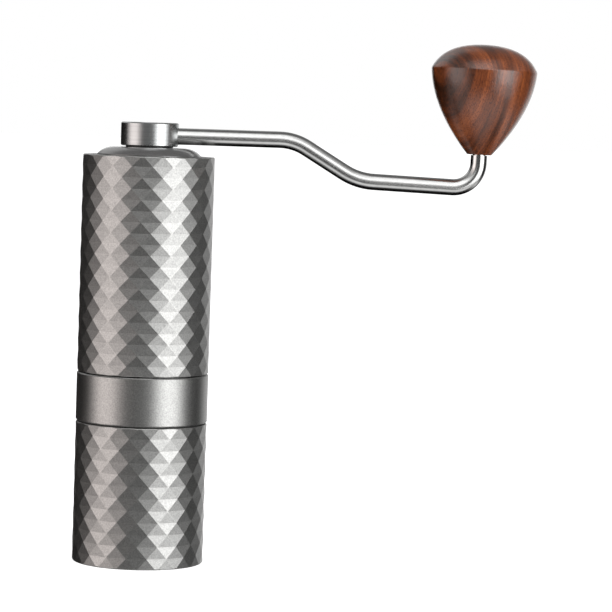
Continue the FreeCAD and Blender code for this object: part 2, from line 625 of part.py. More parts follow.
def bent_path(corners, radii):
    """Straight runs joined by tangent arcs."""
    edges, start = [], corners[0]
    for before, corner, after, radius in zip(corners, corners[1:], corners[2:], radii):
        back, ahead = (before - corner).normalize(), (after - corner).normalize()
        half_angle = back.getAngle(ahead) / 2
        reach = radius / math.tan(half_angle)
        centre = corner + (back + ahead).normalize() * (radius / math.sin(half_angle))
        middle = centre + (corner - centre).normalize() * radius
        enter, leave = corner + back * reach, corner + ahead * reach
        edges += [Part.LineSegment(start, enter).toShape(), Part.Arc(enter, middle, leave).toShape()]
        start = leave
    edges.append(Part.LineSegment(start, corners[-1]).toShape())
    return Part.Wire(edges)


def on_post(shape):
    """A shape made upright about Z, moved to the crank's post and leaned with it."""
    foot = arm_corners()[0][3]
    shape.translate(Vector(foot.x, 0, 0))
    shape.rotate(foot, Vector(0, 1, 0), ARM_POST_LEAN_DEG)
    return shape


def spindle_places():
    """Heights on the upright spindle: the arm's shoulder, the retaining clip and the spindle's end."""
    shoulder = arm_corners()[0][3].z + ARM_POST
    z_clip = shoulder + KNOB_GAP + KNOB_BUSH_LENGTH + KNOB_GAP
    return shoulder, z_clip, z_clip + CLIP_THICKNESS + SPINDLE_TAIL


def crank_arm():
    corners, radii = arm_corners()
    path = bent_path(corners, radii)
    section = Part.Wire(Part.makeCircle(ARM_RADIUS, corners[0], Vector(1, 0, 0)))
    bar = path.makePipeShell([section], True, False)
    shoulder, z_clip, end = spindle_places()
    spindle = on_post(rod(SPINDLE_RADIUS, shoulder - EDGE_BREAK, end))
    groove = on_post(clip_groove(SPINDLE_RADIUS, z_clip))
    return bar.fuse(spindle).cut([groove, pin_bar(PIN_RADIUS + SEAT)])


def arm_pin():
    return pin_bar(PIN_RADIUS)


def knob_clip():
    return on_post(clip(SPINDLE_RADIUS, KNOB_BUSH_RADIUS - RUNNING, spindle_places()[1]))


# Knob

def curve(start, pull, end):
    """A curve that leaves start towards pull and arrives at end from pull."""
    bow = Part.BezierCurve()
    bow.setPoles([Vector(start[0], 0, start[1]), Vector(pull[0], 0, pull[1]), Vector(end[0], 0, end[1])])
    return bow.toShape()


def knob():
    foot = spindle_places()[0] + KNOB_GAP
    end = spindle_places()[2]
    shoulder, top = foot + KNOB_SHOULDER, foot + KNOB_SHOULDER + KNOB_DOME
    swell = (KNOB_SWELL_RADIUS, foot + KNOB_SWELL)
    side = curve((KNOB_FOOT_RADIUS, foot), swell, (KNOB_RADIUS, shoulder))
    dome = curve((KNOB_RADIUS, shoulder), (KNOB_DOME_PULL, top), (0, top))
    axis = Part.LineSegment(Vector(0, 0, top), Vector(0, 0, foot)).toShape()
    base = Part.LineSegment(Vector(0, 0, foot), Vector(KNOB_FOOT_RADIUS, 0, foot)).toShape()
    bore = rod(KNOB_BUSH_RADIUS + SEAT, foot - PAST, end + KNOB_BORE_SPARE)
    return on_post(turned([side, dome, axis, base]).cut(bore))


def knob_bush():
    foot = spindle_places()[0] + KNOB_GAP
    return on_post(ring(KNOB_BUSH_RADIUS, KNOB_BUSH_BORE, foot, foot + KNOB_BUSH_LENGTH))


def pieces():
    """Every piece by its node's name."""
    return {
        "body_tube": body_tube(),
        "waist_collar": waist_collar(),
        "cup_gasket": cup_gasket(),
        "grounds_cup": grounds_cup(),
        "burr_housing": burr_housing(),
        "bearing_bridge": bearing_bridge(),
        "burr_screws": burr_screws(),
        "ring_burr": ring_burr(),
        "cone_burr": cone_burr(),
        "click_plate": click_plate(),
        "adjusting_dial": adjusting_dial(),
        "drive_shaft": drive_shaft(),
        "shaft_circlip": shaft_circlip(),
        "dial_clip": dial_clip(),
        "thrust_washer": thrust_washer(),
        "burr_spring": burr_spring(),
        "upper_bearing_outer_race": outer_race(Z_UPPER_BEARING),
        "upper_bearing_inner_race": inner_race(Z_UPPER_BEARING),
        "upper_bearing_balls": bearing_balls(Z_UPPER_BEARING),
        "lower_bearing_outer_race": outer_race(Z_LOWER_BEARING),
        "lower_bearing_inner_race": inner_race(Z_LOWER_BEARING),
        "lower_bearing_balls": bearing_balls(Z_LOWER_BEARING),
        "top_frame": top_frame(),
        "lid": lid(),
        "lid_seal": lid_seal(),
        "lid_bush": lid_bush(),
        "crank_hub": crank_hub(),
        "hub_circlip": hub_circlip(),
        "crank_arm": crank_arm(),
        "arm_pin": arm_pin(),
        "knob_clip": knob_clip(),
        "knob": knob(),
        "knob_bush": knob_bush(),
    }


os.makedirs("parts", exist_ok=True)
for name, shape in pieces().items():
    if not shape.isValid():
        raise ValueError(name + " is not a valid shape")
    shape.exportStep("parts/" + name + ".step")
    print(name, len(shape.Solids), "solid", round(shape.Volume, 1), "mm3")
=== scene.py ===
# %% [markdown]
# # A hand crank coffee grinder
# The grinder's solids come from a finished construction model, at their real size and in their real
# places. This lesson dresses them: a camera, a small studio, one finish for each material, and crisp
# edges where a cutter or a lathe left them. Lengths are in metres and +Z is up.

# %% Load the model
import math

import bmesh
import bpy
from mathutils import Matrix, Vector


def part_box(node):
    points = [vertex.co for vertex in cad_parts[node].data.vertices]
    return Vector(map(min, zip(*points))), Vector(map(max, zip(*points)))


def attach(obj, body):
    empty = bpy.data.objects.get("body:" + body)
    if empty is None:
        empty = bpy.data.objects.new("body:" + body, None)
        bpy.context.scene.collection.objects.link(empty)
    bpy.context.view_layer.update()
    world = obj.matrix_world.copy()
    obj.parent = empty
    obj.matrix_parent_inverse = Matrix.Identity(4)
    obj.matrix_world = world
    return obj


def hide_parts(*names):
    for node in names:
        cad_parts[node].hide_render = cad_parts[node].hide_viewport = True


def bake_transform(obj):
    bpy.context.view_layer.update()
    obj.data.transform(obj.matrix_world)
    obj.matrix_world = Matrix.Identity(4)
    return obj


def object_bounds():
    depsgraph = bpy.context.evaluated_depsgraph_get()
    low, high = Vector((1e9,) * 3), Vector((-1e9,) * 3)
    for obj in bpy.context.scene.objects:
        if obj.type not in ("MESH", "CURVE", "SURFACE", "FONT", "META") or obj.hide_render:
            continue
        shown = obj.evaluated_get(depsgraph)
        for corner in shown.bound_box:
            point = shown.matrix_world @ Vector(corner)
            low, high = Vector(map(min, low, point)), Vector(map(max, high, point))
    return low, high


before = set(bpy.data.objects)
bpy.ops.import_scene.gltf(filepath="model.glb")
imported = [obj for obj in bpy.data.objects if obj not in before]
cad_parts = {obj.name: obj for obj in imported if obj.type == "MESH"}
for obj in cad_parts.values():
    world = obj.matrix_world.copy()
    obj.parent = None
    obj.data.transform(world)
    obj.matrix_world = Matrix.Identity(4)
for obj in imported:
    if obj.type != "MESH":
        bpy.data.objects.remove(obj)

MM = 0.001
cad_low, cad_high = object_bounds()
print("model box in mm:", [round(side / MM, 1) for side in cad_high - cad_low])

# %% [markdown]
# ## The camera
# The picture was taken from a little over a metre with a long lens, about level with the lid, so the
# barrel tapers only slightly and its lower rings look like flat ellipses. A camera is placed by its
# three axes here, because turn, tilt and roll can then be read one at a time.

# %% Camera
CAMERA_DISTANCE = 1100.1 * MM
CAMERA_HEIGHT = 175.5 * MM
CAMERA_TURN = math.radians(3.19)        # to the right of the barrel, to make room for the crank
CAMERA_TILT = math.radians(3.965)       # downwards
CAMERA_ROLL = math.radians(1.93)
LENS_MM = 170.6
SENSOR_MM = 36                          # width of the sensor behind that lens


def camera_axes(turn, tilt, roll):
    """The camera's right, up and backward directions as a rotation matrix."""
    ahead = Vector((math.sin(turn) * math.cos(tilt), math.cos(turn) * math.cos(tilt), -math.sin(tilt)))
    level = Vector((math.cos(turn), -math.sin(turn), 0))
    upright = level.cross(ahead)
    right = math.cos(roll) * level + math.sin(roll) * upright
    up = math.cos(roll) * upright - math.sin(roll) * level
    return Matrix((right, up, -ahead)).transposed().to_4x4()


camera = bpy.data.objects.new("camera", bpy.data.cameras.new("camera"))
camera.data.sensor_width = SENSOR_MM
camera.data.lens = LENS_MM
stand = Matrix.Translation((0, -CAMERA_DISTANCE, CAMERA_HEIGHT))
camera.matrix_world = stand @ camera_axes(CAMERA_TURN, CAMERA_TILT, CAMERA_ROLL)
bpy.context.scene.collection.objects.link(camera)
bpy.context.scene.camera = camera
print("camera at", [round(c, 3) for c in camera.matrix_world.translation])

# %% [markdown]
# ## Two helpers for finishes
# Colours are easiest to read as the hex values of a paint program, but shaders mix light, so one function
# turns them to linear. The other adds a node: its inputs take a plain value or another node's output.

# %% Helpers
def linear(hex_colour):
    """A #rrggbb colour as linear red, green, blue and alpha."""
    parts = [int(hex_colour[i:i + 2], 16) / 255 for i in (1, 3, 5)]
    return [c / 12.92 if c <= 0.04045 else ((c + 0.055) / 1.055) ** 2.4 for c in parts] + [1.0]


def add(tree, kind, inputs=None, stops=None, **settings):
    """A new node with its settings, its inputs (values or outputs to link) and, on a ramp, its stops."""
    made = tree.nodes.new("ShaderNode" + kind)
    for name, value in settings.items():
        setattr(made, name, value)
    for socket, value in (inputs or {}).items():
        if isinstance(value, bpy.types.NodeSocket):
            tree.links.new(value, made.inputs[socket])
        else:
            made.inputs[socket].default_value = value
    for i, (place, hex_colour) in enumerate(stops or []):
        stop = made.color_ramp.elements[i] if i < 2 else made.color_ramp.elements.new(place)
        stop.position = place
        stop.color = linear(hex_colour)
    return made


def new_finish(name, **sockets):
    """A new material, its node tree and its shader, which takes the values that are the same all over."""
    material = bpy.data.materials.new(name)
    material.use_nodes = True
    shader = material.node_tree.nodes["Principled BSDF"]
    for socket, value in sockets.items():
        shader.inputs[socket.replace("_", " ")].default_value = value
    return material, material.node_tree, shader


print("mid grey #808080 is", round(linear("#808080")[0], 3), "in linear light")

# %% [markdown]
# ## The studio
# Bare metal has hardly a colour of its own: it shows what stands round it. Here that is a large soft box
# at the right front, a dimmer one at the left, one high in front and a weak one behind, a grey room
# between them, a black flag at the far left that draws the dark edge, and white paper behind. The room
# is a colour ramp round the horizon in the world, because it is then one list to change, and the soft
# boxes are area lamps, because they also light the wood.

# %% The room round the object
scene = bpy.context.scene
scene.view_settings.view_transform = "Standard"
world = bpy.data.worlds.new("studio")
scene.world = world
world.use_nodes = True
room = world.node_tree
ROOM_STOPS = [                  # degrees to the right of the camera's side, and what stands there
    (-180, "#ffffff"),          # white paper
    (180, "#ffffff"),
    (-171, "#ffffff"),
    (-166, "#000000"),          # black flag
    (-106, "#000000"),
    (-96, "#6a6a6a"),           # dim room, with the soft boxes in front of it
    (-30, "#6a6a6a"),
    (-14, "#525252"),
    (10, "#525252"),
    (84, "#404040"),
    (122, "#303030"),
    (138, "#e0e0e0"),           # pale wall
    (148, "#e0e0e0"),
    (158, "#ffffff"),
]
looking = add(room, "TexCoord").outputs["Generated"]
axis = add(room, "SeparateXYZ", {0: looking}).outputs
nearer = add(room, "Math", {0: axis["Y"], 1: -1.0}, operation="MULTIPLY").outputs[0]
bearing = add(room, "Math", {0: axis["X"], 1: nearer}, operation="ARCTAN2").outputs[0]
share = add(room, "MapRange", {"Value": bearing, "From Min": -math.pi, "From Max": math.pi}).outputs[0]
stops = [((degrees + 180) / 360, colour) for degrees, colour in ROOM_STOPS]
walls = add(room, "ValToRGB", {0: share}, stops=stops).outputs[0]
print("room stops:", len(ROOM_STOPS))

# %% [markdown]
# ## Heights, and the white paper
# The walls, the flag and the paper reach only so high. Above them is a grey ceiling, and the room gets
# dark under the table's edge. The camera sees white paper all round, as in a cut-out picture. Metal sees
# it where it lies: in a strip behind, and on the table in front and at the sides, where it draws the
# bright band along the underside of the crank arm. Straight behind, the table is dark, and so is the
# thin lower rim of the arm.

# %% Heights of the room
FRONT_STOPS = [(-1.0, "#505050"), (1.0, "#8c8c8c"), (-0.55, "#505050"), (-0.3, "#e8e8e8"),
               (0.0, "#ffffff"), (0.5, "#ffffff"), (0.8, "#c0c0c0")]
REAR_STOPS = [(-1.0, "#000000"), (1.0, "#8c8c8c"), (-0.5, "#000000"), (-0.28, "#ffffff"),
              (0.15, "#ffffff"), (0.35, "#949494"), (0.8, "#949494")]
CEILING = "#d0d0d0"
REAR = (0.05, 0.3)              # along Y, where the front's heights give way to the rear's
ALOFT = (0.35, 0.55)            # along Z, where the walls give way to the ceiling
upward = add(room, "MapRange", {"Value": axis["Z"], "From Min": -1.0, "From Max": 1.0}).outputs[0]
levels = []
for heights in (FRONT_STOPS, REAR_STOPS):
    stops = [((height + 1) / 2, colour) for height, colour in heights]
    levels.append(add(room, "ValToRGB", {0: upward}, stops=stops).outputs[0])
behind = add(room, "MapRange", {"Value": axis["Y"], "From Min": REAR[0], "From Max": REAR[1]}).outputs[0]
level = add(room, "Mix", {0: behind, 6: levels[0], 7: levels[1]}, data_type="RGBA").outputs[2]
aloft = add(room, "MapRange", {"Value": axis["Z"], "From Min": ALOFT[0], "From Max": ALOFT[1]}).outputs[0]
sides = add(room, "Mix", {0: aloft, 6: walls, 7: linear(CEILING)}, data_type="RGBA").outputs[2]
print("height stops:", len(FRONT_STOPS), "in front,", len(REAR_STOPS), "behind")

# %% The white paper
BELOW = (-0.36, -0.66)          # along Z, where a look down meets the table
AHEAD = (-0.05, -0.45)          # along Y, where the paper on it begins in front
ASIDE = (0.5, 0.75)             # along X, either way, where it begins at the sides
downward = add(room, "MapRange", {"Value": axis["Z"], "From Min": BELOW[0], "From Max": BELOW[1]}).outputs[0]
in_front = add(room, "MapRange", {"Value": axis["Y"], "From Min": AHEAD[0], "From Max": AHEAD[1]}).outputs[0]
across = add(room, "Math", {0: axis["X"]}, operation="ABSOLUTE").outputs[0]
aside = add(room, "MapRange", {"Value": across, "From Min": ASIDE[0], "From Max": ASIDE[1]}).outputs[0]
not_behind = add(room, "Math", {0: in_front, 1: aside}, operation="MAXIMUM").outputs[0]
table = add(room, "Math", {0: downward, 1: not_behind}, operation="MULTIPLY").outputs[0]
rays = add(room, "LightPath").outputs
mirrored = add(room, "Math", {0: rays["Is Glossy Ray"], 1: rays["Is Transmission Ray"]},
               operation="MAXIMUM").outputs[0]
on_table = add(room, "Math", {0: mirrored, 1: table}, operation="MULTIPLY").outputs[0]
on_paper = add(room, "Math", {0: rays["Is Camera Ray"], 1: on_table}, operation="MAXIMUM").outputs[0]
seen = add(room, "Mix", {0: on_paper, 6: sides, 7: linear("#ffffff")}, data_type="RGBA").outputs[2]
strength = add(room, "Math", {0: level, 1: on_paper}, operation="MAXIMUM").outputs[0]
room.links.new(seen, room.nodes["Background"].inputs["Color"])
room.links.new(strength, room.nodes["Background"].inputs["Strength"])
print("world nodes:", len(room.nodes))

# %% [markdown]
# ## Soft boxes
# A soft box is brightest in the middle of its cloth and dimmer towards the rim, which gives metal a
# highlight with soft ends. Here each one is two area lamps, the whole cloth and its middle. Their power
# follows from how bright the middle looks, where 1 is as bright as white paper.

# %% The soft boxes
CLOTH_PARTS = [                 # name, share of the box's size, share of its glow, metres off
    ("cloth", 1.0, 0.4, 1.0),
    ("middle", 0.55, 0.6, 0.99),
]
SOFT_BOXES = [                  # name, bearing and rise in degrees, width and height in metres, glow, colour
    ("key soft box", 48, 5, 1.06, 1.25, 3.4, "#ffffff"),
    ("left soft box", -66, 2, 1.2, 1.25, 1.7, "#fff4f1"),
    ("high soft box", 4, 48, 1.1, 1.5, 1.5, "#ffffff"),
    ("back soft box", -150, 36, 1.0, 0.9, 0.6, "#ffffff"),
]


def soft_box(name, bearing_deg, rise_deg, width, height, glow, hex_colour):
    """A lamp a metre off that looks at the barrel, at a bearing to the right of the camera's side."""
    bearing, rise = math.radians(bearing_deg), math.radians(rise_deg)
    level_out = Vector((math.sin(bearing), -math.cos(bearing), 0))
    outward = level_out * math.cos(rise) + Vector((0, 0, math.sin(rise)))
    middle = Vector((0, 0, (cad_low.z + cad_high.z) / 2))
    for part, size, share, distance in CLOTH_PARTS:
        light = bpy.data.lights.new(name + " " + part, "AREA")
        light.shape = "RECTANGLE"
        light.size = width * size
        light.size_y = height * size
        light.energy = glow * share * math.pi * light.size * light.size_y
        light.color = linear(hex_colour)[:3]
        lamp = bpy.data.objects.new(light.name, light)
        lamp.location = middle + outward * distance
        lamp.rotation_euler = outward.to_track_quat("Z", "Y").to_euler()
        lamp.visible_camera = False
        scene.collection.objects.link(lamp)


for values in SOFT_BOXES:
    soft_box(*values)

# %% [markdown]
# ## The floor
# The grinder stands on the same white paper. Close by, the paper is lit by the lamps and keeps a soft
# shadow. Further out the camera sees it fade to plain white, so that no horizon shows.

# %% The floor
REACH = 12.0                    # middle of the floor to its edges
FLOOR_GAP = 0.1 * MM            # floor under the cup, so that their faces stay apart
SHADOW_NEAR = 0.03              # from the barrel's axis, where the shadow starts to fade
SHADOW_FAR = 0.15               # and where the paper is plain white
SHADOW_GLOW = 0.80              # the paper's own glow in the shadow, where 1 is plain white
corners = [(-REACH, -REACH, 0), (REACH, -REACH, 0), (REACH, REACH, 0), (-REACH, REACH, 0)]
floor_mesh = bpy.data.meshes.new("floor")
floor_mesh.from_pydata(corners, [], [(0, 1, 2, 3)])
floor = bpy.data.objects.new("floor", floor_mesh)
floor.location.z = cad_low.z - FLOOR_GAP
floor.visible_glossy = False            # the world shows the paper to the metal
scene.collection.objects.link(floor)
white_paper, tree, shader = new_finish("white seamless paper", Roughness=0.9, Base_Color=linear("#e6e6e6"))
shader.inputs["Emission Color"].default_value = linear("#ffffff")
here = add(tree, "TexCoord").outputs["Object"]
away = add(tree, "VectorMath", {0: here}, operation="LENGTH").outputs["Value"]
fade = add(tree, "MapRange", {"Value": away, "From Min": SHADOW_NEAR, "From Max": SHADOW_FAR,
                              "To Min": SHADOW_GLOW, "To Max": 1.0}).outputs[0]
rays = add(tree, "LightPath").outputs
looked_at = add(tree, "Math", {0: rays["Is Camera Ray"], 1: rays["Is Transmission Ray"]},
                operation="MAXIMUM").outputs[0]
lift = add(tree, "Math", {0: looked_at, 1: fade}, operation="MULTIPLY").outputs[0]
tree.links.new(lift, shader.inputs["Emission Strength"])
floor.data.materials.append(white_paper)
print("floor at", round(floor.location.z / MM, 2), "mm")

# %% [markdown]
# ## Gunmetal: bead-blasted, anodised aluminium
# The barrel and the collar are aluminium, blasted with fine glass beads and then anodised grey. The beads
# leave pits of a few hundredths of a millimetre, which spread each reflection into a satin glow with a
# fine sparkle. The pits are too fine for the picture, so the grain is drawn at 0.5 mm. Along the ridges
# the blast rounds the metal, and their slightly paler finish is a painted highlight.

# %% Gunmetal
BLAST_GRAIN = 0.5 * MM
BLAST_PATCH = 14 * MM           # size of the patches that were blasted a little longer
PIT_DEPTH = 0.02 * MM
gunmetal, tree, shader = new_finish("bead-blasted anodised aluminium", Metallic=1.0)
here = add(tree, "TexCoord").outputs["Object"]
grain = add(tree, "TexNoise", {"Vector": here, "Scale": 1 / BLAST_GRAIN, "Detail": 2.0}).outputs[0]
cloud = add(tree, "TexNoise", {"Vector": here, "Scale": 1 / BLAST_PATCH, "Detail": 3.0}).outputs[0]
tone = add(tree, "ValToRGB", {0: grain}, stops=[(0.3, "#949493"), (0.7, "#b2b2b0")]).outputs[0]
rough = add(tree, "MapRange", {"Value": cloud, "To Min": 0.33, "To Max": 0.39}).outputs[0]
pits = add(tree, "Bump", {"Height": grain, "Strength": 0.3, "Distance": PIT_DEPTH}).outputs[0]
tree.links.new(tone, shader.inputs["Base Color"])
tree.links.new(rough, shader.inputs["Roughness"])
tree.links.new(pits, shader.inputs["Normal"])
print("blast grain drawn at", round(BLAST_GRAIN / MM, 2), "mm")

# %% Ridges with a painted highlight
# A paler tone for the rounded ridges: a painted highlight, varied in patches.
RIDGE_HIGHLIGHT_PATCH = 1.5 * MM
painted_ridge_highlight, tree, shader = new_finish("anodised aluminium with painted ridge highlight", Metallic=1.0, Roughness=0.36)
here = add(tree, "TexCoord").outputs["Object"]
highlight_patches = add(tree, "TexNoise", {"Vector": here, "Scale": 1 / RIDGE_HIGHLIGHT_PATCH, "Detail": 2.0}).outputs[0]
tone = add(tree, "ValToRGB", {0: highlight_patches}, stops=[(0.3, "#a8a8a6"), (0.7, "#bebebc")]).outputs[0]
tree.links.new(tone, shader.inputs["Base Color"])
print("finishes so far:", gunmetal.name, "and", painted_ridge_highlight.name)

# %% [markdown]
# ## Lid and inner plastics
# The lid is moulded in plastic and sprayed with a grey metallic lacquer under a clear coat: the flakes
# give a dull metal glow, and the coat mirrors the white paper at a flat angle, along the top edge. The
# frame in the mouth is glass-filled nylon, satin from the mould. The bush is turned acetal, with a soft
# gloss, and the seals are matte silicone.

# %% Plastics and rubber
def moulded(name, dark, light, roughness, texture_size, depth, flakes=0.0):
    """A moulded or turned plastic or rubber: a little mottled, with a fine texture."""
    material, tree, shader = new_finish(name, Roughness=roughness, IOR=1.5, Metallic=flakes)
    here = add(tree, "TexCoord").outputs["Object"]
    skin = add(tree, "TexNoise", {"Vector": here, "Scale": 1 / texture_size, "Detail": 3.0}).outputs[0]
    tone = add(tree, "ValToRGB", {0: skin}, stops=[(0.3, dark), (0.7, light)]).outputs[0]
    bump = add(tree, "Bump", {"Height": skin, "Strength": 0.3, "Distance": depth}).outputs[0]
    tree.links.new(tone, shader.inputs["Base Color"])
    tree.links.new(bump, shader.inputs["Normal"])
    return material


lid_lacquer = moulded("metallic lacquer on plastic", "#626261", "#706f6f", 0.30, 0.5 * MM, 0.004 * MM, 0.4)
clear_coat = lid_lacquer.node_tree.nodes["Principled BSDF"].inputs
clear_coat["Coat Weight"].default_value = 1.0
clear_coat["Coat Roughness"].default_value = 0.12
dark_plastic = moulded("glass-filled nylon, dark grey", "#3a3a3a", "#444444", 0.40, 0.5 * MM, 0.01 * MM)
black_acetal = moulded("turned black acetal", "#141414", "#1b1b1b", 0.4, 0.6 * MM, 0.01 * MM)
silicone = moulded("black silicone rubber", "#101010", "#191919", 0.7, 0.8 * MM, 0.02 * MM)
print("plastics:", [m.name for m in (lid_lacquer, dark_plastic, black_acetal, silicone)])

# %% [markdown]
# ## Turned and polished metals
# A lathe leaves fine rings about the axis. They depend on the distance from the axis and on the height,
# so one noise over those two numbers draws both the rings on a flat face and the lines round a side. The
# rings are a few hundredths of a millimetre apart, and they are drawn at half a millimetre to show. The
# inner housing is anodised black, which makes the seam above the collar a dark line.

# %% Metals
TURNED_PATCH = 6 * MM           # size of the patches that differ a little in roughness
ROUGHNESS_SPREAD = 0.15         # and by what share they differ


def turned_metal(name, dark, light, roughness, ring_size, depth, centre=(0.0, 0.0, 0.0)):
    """A metal turned about the vertical through centre, with rings ring_size apart."""
    material, tree, shader = new_finish(name, Metallic=1.0)
    here = add(tree, "TexCoord").outputs["Object"]
    local = add(tree, "VectorMath", {0: here, 1: centre}, operation="SUBTRACT").outputs[0]
    flat = add(tree, "VectorMath", {0: local, 1: (1.0, 1.0, 0.0)}, operation="MULTIPLY").outputs[0]
    radius = add(tree, "VectorMath", {0: flat}, operation="LENGTH").outputs["Value"]
    height = add(tree, "SeparateXYZ", {0: local}).outputs["Z"]
    profile = add(tree, "CombineXYZ", {"X": radius, "Y": height}).outputs[0]
    rings = add(tree, "TexNoise", {"Vector": profile, "Scale": 1 / ring_size, "Detail": 3.0}).outputs[0]
    cloud = add(tree, "TexNoise", {"Vector": here, "Scale": 1 / TURNED_PATCH, "Detail": 3.0}).outputs[0]
    tone = add(tree, "ValToRGB", {0: rings}, stops=[(0.3, dark), (0.7, light)]).outputs[0]
    limits = {"To Min": roughness * (1 - ROUGHNESS_SPREAD), "To Max": roughness * (1 + ROUGHNESS_SPREAD)}
    rough = add(tree, "MapRange", {"Value": cloud, **limits}).outputs[0]
    bump = add(tree, "Bump", {"Height": rings, "Strength": 0.25, "Distance": depth}).outputs[0]
    tree.links.new(tone, shader.inputs["Base Color"])
    tree.links.new(rough, shader.inputs["Roughness"])
    tree.links.new(bump, shader.inputs["Normal"])
    return material


hub_steel = turned_metal("turned stainless steel", "#aeb0b0", "#bec0c0", 0.28, 0.5 * MM, 0.004 * MM)
black_anodised = turned_metal("black anodised aluminium", "#1c1c1c", "#262626", 0.36, 0.5 * MM, 0.006 * MM)
machined = turned_metal("machined aluminium", "#a8a8aa", "#bcbcbe", 0.3, 0.5 * MM, 0.006 * MM)
tool_steel = turned_metal("ground tool steel", "#8c8c8c", "#a4a4a3", 0.28, 0.4 * MM, 0.006 * MM)
knob_low, knob_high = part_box("knob")
knob_axis = (knob_low + knob_high) / 2
brass = turned_metal("turned brass", "#b08a4a", "#c29b58", 0.3, 0.5 * MM, 0.006 * MM, knob_axis)
print("metals:", [m.name for m in (hub_steel, black_anodised, machined, tool_steel, brass)])

# %% [markdown]
# ## The crank's bar
# Bright drawn bar is polished while it spins, so its finest scratches run round it. Across them light
# spreads far along the bar and hardly round it, which keeps the sharp dark line down its middle.
# Anisotropic roughness does that: its tangent is the bar's own direction, along X and then up the post.
# The post under the knob is polished brighter, as the knob turns beside it.

# %% Polished bar
bar_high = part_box("crank_arm")[1]
BEND = 9.5 * MM                         # radius of the last bend
POST_INSET = 3 * MM                     # outermost point of the bar to about the middle of its post
POLISH_PATCH = 3 * MM
RUN_ROUGHNESS = 0.22
POST_ROUGHNESS = 0.12
bar_steel, tree, shader = new_finish("polished stainless bar", Metallic=1.0, Anisotropic=0.9)
here = add(tree, "TexCoord").outputs["Object"]
outward = add(tree, "SeparateXYZ", {0: here}).outputs["X"]
post_at = bar_high.x - POST_INSET
run = add(tree, "MapRange", {"Value": outward, "From Min": post_at - BEND, "From Max": post_at,
                             "To Min": 1.0, "To Max": 0.0}).outputs[0]
rise = add(tree, "MapRange", {"Value": outward, "From Min": post_at - BEND, "From Max": post_at}).outputs[0]
along_bar = add(tree, "CombineXYZ", {"X": run, "Z": rise}).outputs[0]
polish = add(tree, "TexNoise", {"Vector": here, "Scale": 1 / POLISH_PATCH, "Detail": 3.0}).outputs[0]
tone = add(tree, "ValToRGB", {0: polish}, stops=[(0.3, "#c2c2c1"), (0.7, "#d0d0cf")]).outputs[0]
rough = add(tree, "MapRange", {"Value": rise, "To Min": RUN_ROUGHNESS, "To Max": POST_ROUGHNESS}).outputs[0]
tree.links.new(tone, shader.inputs["Base Color"])
tree.links.new(rough, shader.inputs["Roughness"])
tree.links.new(along_bar, shader.inputs["Tangent"])
print("bar's post at", round(post_at / MM, 1), "mm")

# %% [markdown]
# ## Walnut
# The knob is turned from a block of walnut, so its figure is the block's growth layers cut by the lathe:
# the same layers run over the dome and down the side. A noise in the block's own axes does that, squeezed
# across the layers and drawn out along the grain. Open pores are short dark strokes along the grain, and
# they break up the lacquer's highlight.

# %% Walnut
STREAK = 1.2 * MM
BAND = 7.0 * MM
PORE_WIDTH = 0.3 * MM
PORE_LENGTH = 2.6 * MM
FLECK = 0.5 * MM                        # pores cut across, drawn coarser than they are
PORE_RELIEF = 0.08 * MM
DRAWN_OUT = (1.0, 0.08, 0.03)           # the noise across the layers, in them and along the grain
LAYERS = (0.66, 1.28)                   # from the darkest layer's noise to the palest one's
GRAIN_LEAN = math.radians(-4)           # the block's grain leans to the right of the knob's axis
LAYER_TURN = math.radians(-28)          # and its layers face to the right of the camera
BLOCK_SHIFT = 15 * MM                   # which part of the block the knob was cut from
walnut, tree, shader = new_finish("lacquered walnut", Roughness=0.4, IOR=1.5, Specular_IOR_Level=0.15,
                                  Coat_Weight=1.0, Coat_Roughness=0.13, Coat_IOR=1.6)
here = add(tree, "TexCoord").outputs["Object"]
block = add(tree, "VectorRotate", {"Vector": here, "Center": knob_axis,
                                   "Rotation": (0.0, GRAIN_LEAN, LAYER_TURN)},
            rotation_type="EULER_XYZ").outputs[0]
grown = add(tree, "VectorMath", {0: block, 1: DRAWN_OUT, 2: (BLOCK_SHIFT, 0.0, 0.0)},
            operation="MULTIPLY_ADD").outputs[0]
streaks = add(tree, "TexNoise", {"Vector": grown, "Scale": 1 / STREAK, "Detail": 4.0, "Roughness": 0.6,
                                 "Distortion": 0.15}).outputs[0]
bands = add(tree, "TexNoise", {"Vector": grown, "Scale": 1 / BAND, "Detail": 1.0}).outputs[0]
both = add(tree, "Math", {0: streaks, 1: bands}, operation="ADD").outputs[0]
layers = add(tree, "MapRange", {"Value": both, "From Min": LAYERS[0], "From Max": LAYERS[1]}).outputs[0]
thin = (1 / PORE_WIDTH, 1 / PORE_WIDTH, 1 / PORE_LENGTH)
pores_at = add(tree, "VectorMath", {0: block, 1: thin}, operation="MULTIPLY").outputs[0]
pores = add(tree, "TexNoise", {"Vector": pores_at, "Scale": 1.0, "Detail": 2.0}).outputs[0]
flecks = add(tree, "TexNoise", {"Vector": here, "Scale": 1 / FLECK, "Detail": 1.0}).outputs[0]
print("walnut streaks", STREAK / MM, "mm, pores", PORE_WIDTH / MM, "mm")

# %% Walnut's colours
brown = [(0.0, "#3a1d0d"), (1.0, "#9c542a"), (0.35, "#5c2e16"), (0.65, "#7c3f1e")]
figure = add(tree, "ValToRGB", {0: layers}, stops=brown).outputs[0]
stroke = add(tree, "ValToRGB", {0: pores}, stops=[(0.33, "#a89d96"), (0.5, "#ffffff")]).outputs[0]
wood = add(tree, "Mix", {0: 1.0, 6: figure, 7: stroke}, data_type="RGBA", blend_type="MULTIPLY").outputs[2]
relief = add(tree, "Math", {0: pores, 1: flecks}, operation="ADD").outputs[0]
open_grain = add(tree, "Bump", {"Height": relief, "Strength": 0.5, "Distance": PORE_RELIEF}).outputs[0]
tree.links.new(wood, shader.inputs["Base Color"])
tree.links.new(open_grain, shader.inputs["Normal"])
tree.links.new(open_grain, shader.inputs["Coat Normal"])
print("walnut nodes:", len(tree.nodes))
